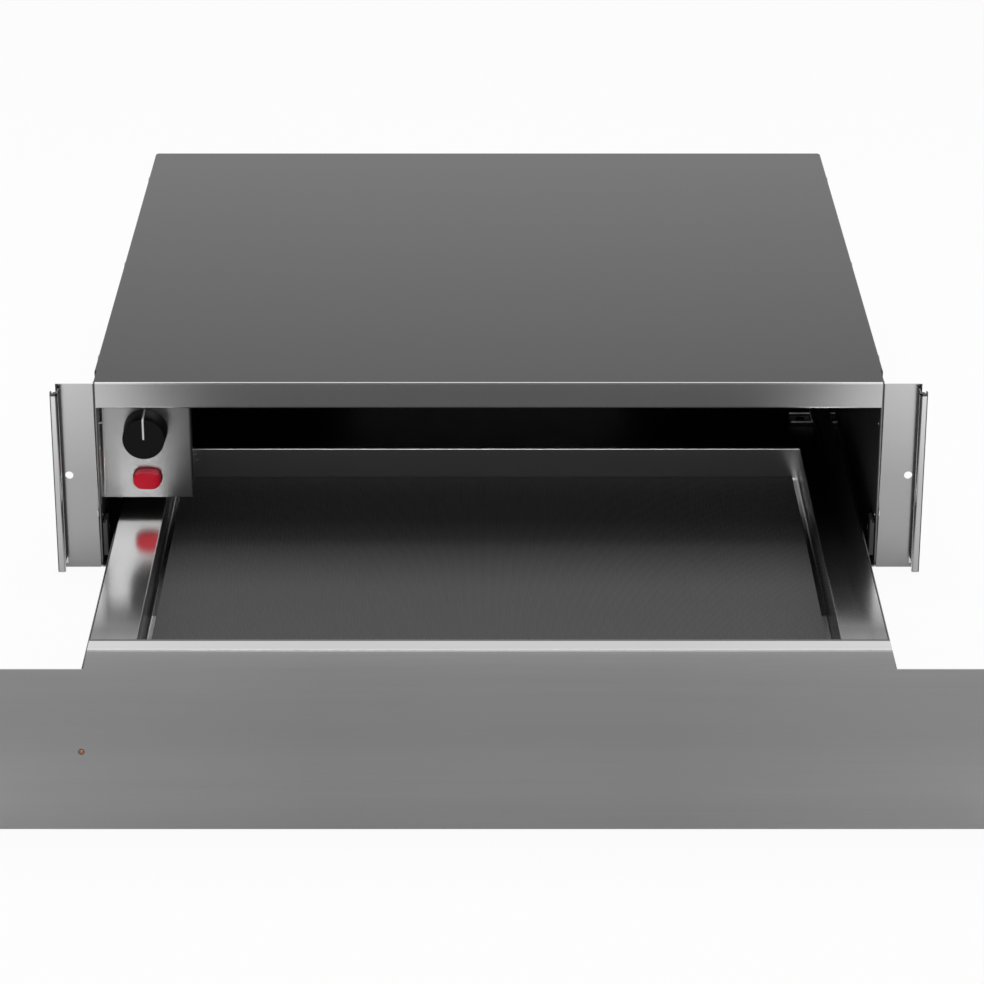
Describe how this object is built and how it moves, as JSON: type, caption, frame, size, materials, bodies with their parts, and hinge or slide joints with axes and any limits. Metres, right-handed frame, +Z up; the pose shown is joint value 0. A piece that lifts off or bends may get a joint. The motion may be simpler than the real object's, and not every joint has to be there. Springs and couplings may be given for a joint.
{
  "type": "built-in warming drawer",
  "caption": "Built-in warming drawer: steel cabinet with side flanges, a telescopic drawer with a wide brushed front and non-slip mat, a thermostat knob and a push button.",
  "frame": {"origin": "on the flat underside of the cabinet, at the middle of its mouth, in the plane of the side flanges' rear faces", "axes": "+X to the user's right, +Y into the kitchen unit (the drawer opens towards -Y), +Z up; the stored pose has the drawer open, the knob at its off mark and the button out"},
  "size_m": [0.595, 0.908, 0.1365],
  "materials": {
    "galvanised": "spangled galvanised sheet, matt",
    "cover_grey": "matt grey coated sheet",
    "stainless": "fine brushed stainless steel",
    "panel_steel": "long-grained brushed stainless steel",
    "polished": "bright rolled stainless steel",
    "slide_steel": "dull zinc-plated slide steel",
    "ball_steel": "hardened bright steel balls",
    "box_dark": "dark coated sheet",
    "mat": "ribbed woven non-slip rubber",
    "knob_black": "gloss black",
    "pointer_white": "white paint",
    "button_red": "gloss red",
    "amber": "amber, unlit",
    "plastic_black": "matt black",
    "nylon": "natural nylon",
    "brass": "turned",
    "silicone": "moulded red-brown silicone heater",
    "wool": "glass wool felt",
    "screw_steel": "zinc plated"
  },
  "bodies": {
    "cabinet": {"back_screws": "screw_steel", "bracket_screws": "screw_steel", "cabinet_back": "galvanised", "cabinet_shell": "galvanised", "cable_gland": "plastic_black", "control_box": "box_dark", "control_fascia": "stainless", "cover_screws": "screw_steel", "flange_screws": "screw_steel", "front_top_bar": "stainless", "latch_body": "plastic_black", "left_guide_pad": "nylon", "left_side_flange": "stainless", "left_slide_front_bracket": "slide_steel", "left_slide_outer": "slide_steel", "left_slide_rear_bracket": "slide_steel", "right_guide_pad": "nylon", "right_side_flange": "stainless", "right_slide_front_bracket": "slide_steel", "right_slide_outer": "slide_steel", "right_slide_rear_bracket": "slide_steel", "switch_body": "plastic_black", "terminal_block": "nylon", "terminal_cover": "plastic_black", "thermostat_body": "plastic_black", "thermostat_nut": "brass", "top_cover": "cover_grey"},
    "drawer": {"drawer_tray": "polished", "left_rail": "polished", "right_rail": "polished", "left_drawer_side": "galvanised", "right_drawer_side": "galvanised", "left_slide_inner": "slide_steel", "right_slide_inner": "slide_steel", "non_slip_mat": "mat", "heat_shield": "galvanised", "heater_mat": "silicone", "insulation_pad": "wool", "thermal_cutout": "screw_steel", "front_panel": "panel_steel", "front_backing": "galvanised", "indicator_lens": "amber", "indicator_holder": "plastic_black", "latch_striker": "slide_steel"},
    "knob": {"control_knob": "knob_black", "knob_pointer": "pointer_white", "knob_spindle": "screw_steel"},
    "button": {"power_button": "button_red"},
    "latch_plunger": {"latch_plunger": "nylon"},
    "left_middle": {"left_slide_middle": "slide_steel"},
    "left_outer_cage": {"left_outer_ball_cage": "ball_steel"},
    "left_inner_cage": {"left_inner_ball_cage": "ball_steel"},
    "right_middle": {"right_slide_middle": "slide_steel"},
    "right_outer_cage": {"right_outer_ball_cage": "ball_steel"},
    "right_inner_cage": {"right_inner_ball_cage": "ball_steel"}
  },
  "joints": [
    {"name": "drawer_slide", "type": "slide", "parent": "cabinet", "child": "drawer", "axis": [0, 1, 0], "range_m": [0, 0.363]},
    {"name": "left_middle_slide", "type": "slide", "parent": "cabinet", "child": "left_middle", "axis": [0, 1, 0], "range_m": [0, 0.1815]},
    {"name": "left_outer_cage_slide", "type": "slide", "parent": "cabinet", "child": "left_outer_cage", "axis": [0, 1, 0], "range_m": [0, 0.09075]},
    {"name": "left_inner_cage_slide", "type": "slide", "parent": "cabinet", "child": "left_inner_cage", "axis": [0, 1, 0], "range_m": [0, 0.27225]},
    {"name": "right_middle_slide", "type": "slide", "parent": "cabinet", "child": "right_middle", "axis": [0, 1, 0], "range_m": [0, 0.1815]},
    {"name": "right_outer_cage_slide", "type": "slide", "parent": "cabinet", "child": "right_outer_cage", "axis": [0, 1, 0], "range_m": [0, 0.09075]},
    {"name": "right_inner_cage_slide", "type": "slide", "parent": "cabinet", "child": "right_inner_cage", "axis": [0, 1, 0], "range_m": [0, 0.27225]},
    {"name": "knob_turn", "type": "hinge", "parent": "cabinet", "child": "knob", "pos_m": [-0.234, 0, 0.0961], "axis": [0, 1, 0], "range_deg": [0, 270]},
    {"name": "button_press", "type": "slide", "parent": "cabinet", "child": "button", "axis": [0, 1, 0], "range_m": [0, 0.0025], "stiffness_N_per_m": 600},
    {"name": "plunger_press", "type": "slide", "parent": "cabinet", "child": "latch_plunger", "axis": [0, 1, 0], "range_m": [0, 0.003], "stiffness_N_per_m": 800}
  ],
  "couplings": [
    {"joint": "left_middle_slide", "follows": "drawer_slide", "ratio": 0.5},
    {"joint": "left_outer_cage_slide", "follows": "drawer_slide", "ratio": 0.25},
    {"joint": "left_inner_cage_slide", "follows": "drawer_slide", "ratio": 0.75},
    {"joint": "right_middle_slide", "follows": "drawer_slide", "ratio": 0.5},
    {"joint": "right_outer_cage_slide", "follows": "drawer_slide", "ratio": 0.25},
    {"joint": "right_inner_cage_slide", "follows": "drawer_slide", "ratio": 0.75}
  ]
}
